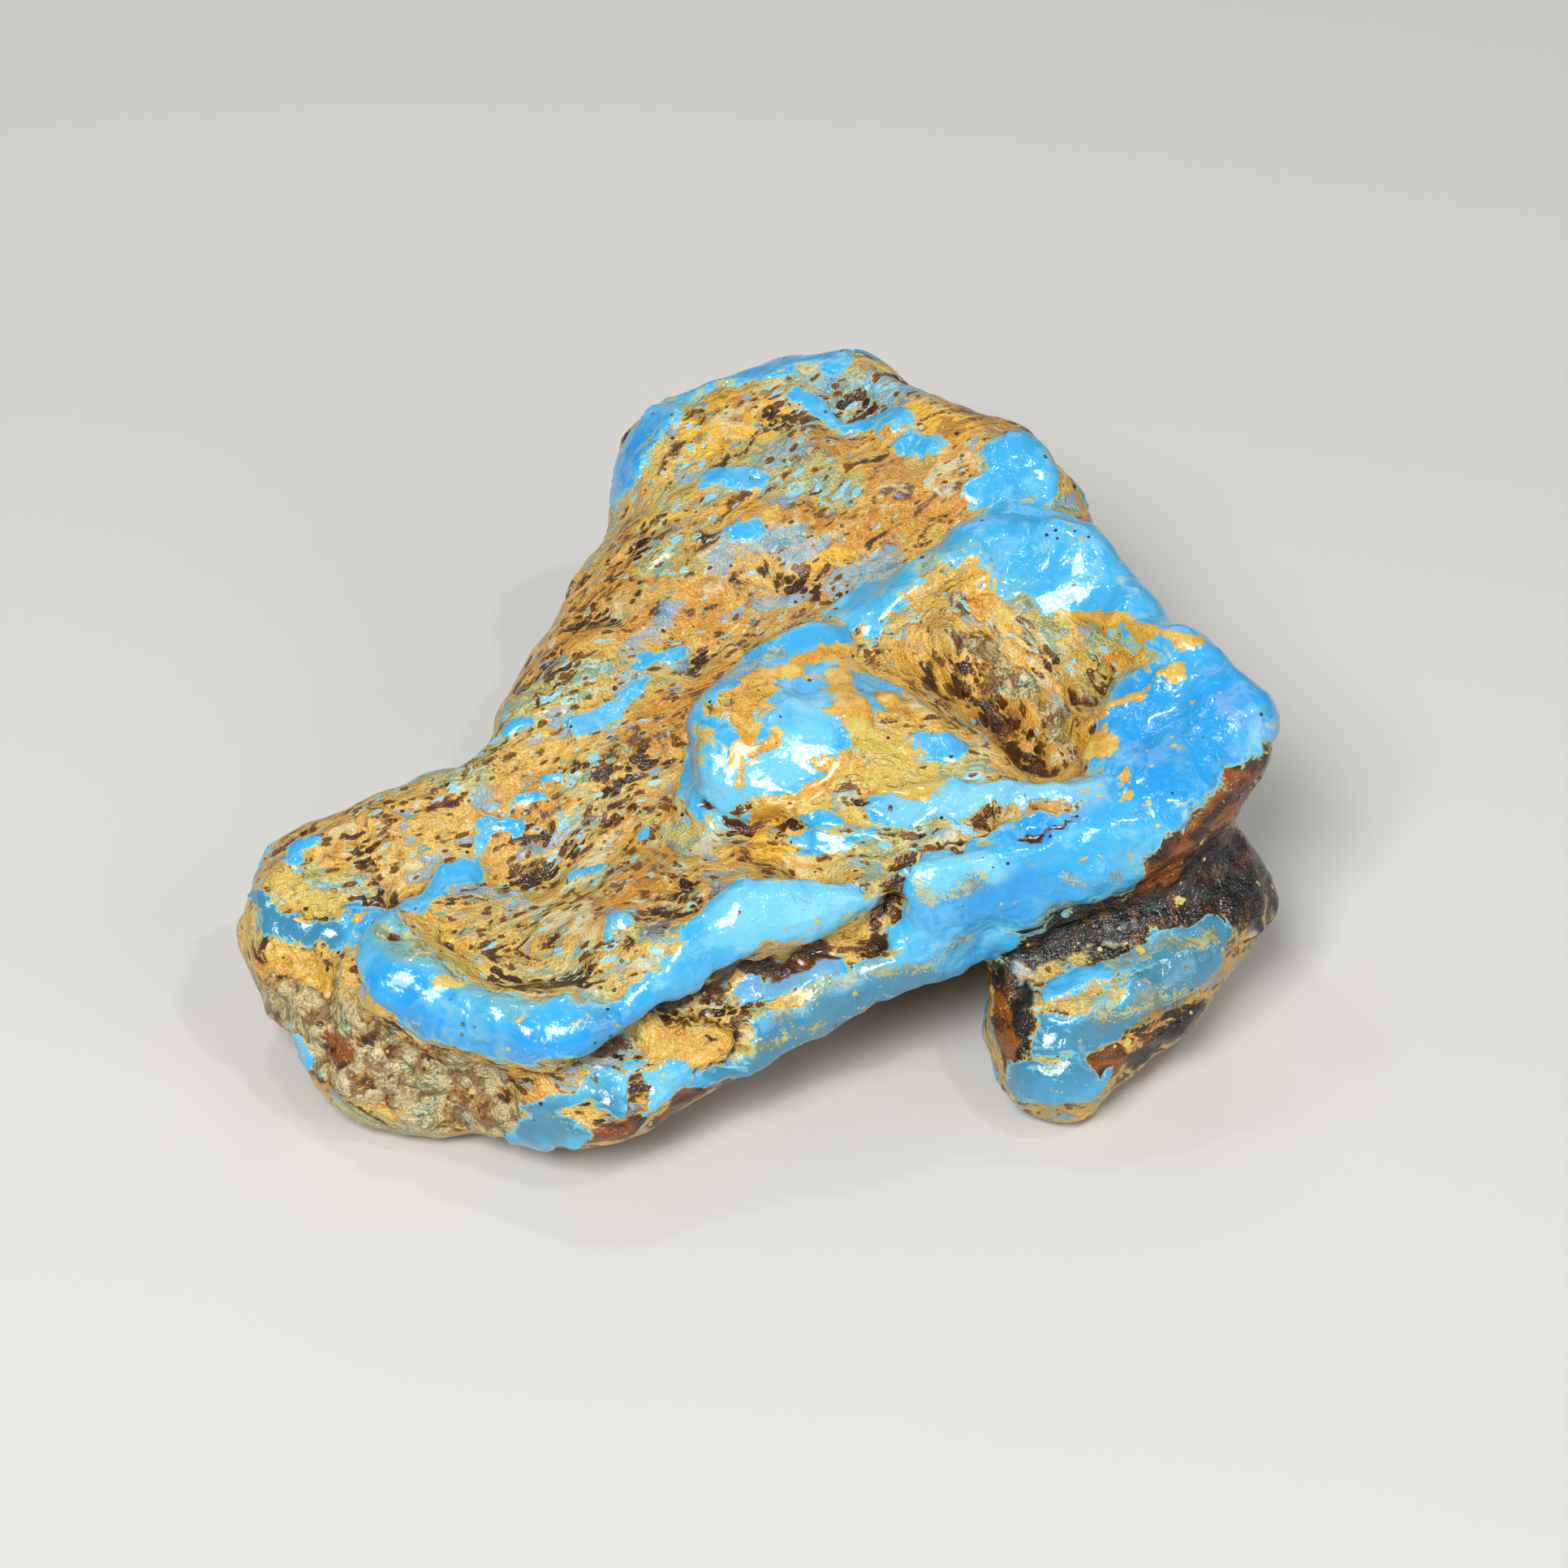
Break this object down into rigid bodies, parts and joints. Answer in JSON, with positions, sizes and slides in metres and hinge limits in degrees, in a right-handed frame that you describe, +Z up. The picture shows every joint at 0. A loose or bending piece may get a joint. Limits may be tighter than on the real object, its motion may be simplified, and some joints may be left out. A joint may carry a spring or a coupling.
{
  "type": "rough blue amber nugget",
  "caption": "Rough nugget of blue amber: a tilted, lumpy plate with a dome, a ravine and folded rims, resting on its front edge, a knob and a broad rear lump.",
  "frame": {"origin": "middle of the nugget's plan box, on the surface that it rests on", "axes": "+X along the nugget's length, from its low left tip to its high right corner; +Y from its thin front rim to its back; +Z up, across its thickness"},
  "size_m": [0.0584, 0.0538, 0.0219],
  "materials": {
    "blue_amber": "opaque waxy sky blue resin with a glossy wet-looking surface, under a thin patchy crust of ochre, tan and dark brown weathered rind"
  },
  "bodies": {
    "root": {"amber_nugget": "blue_amber"}
  },
  "joints": []
}
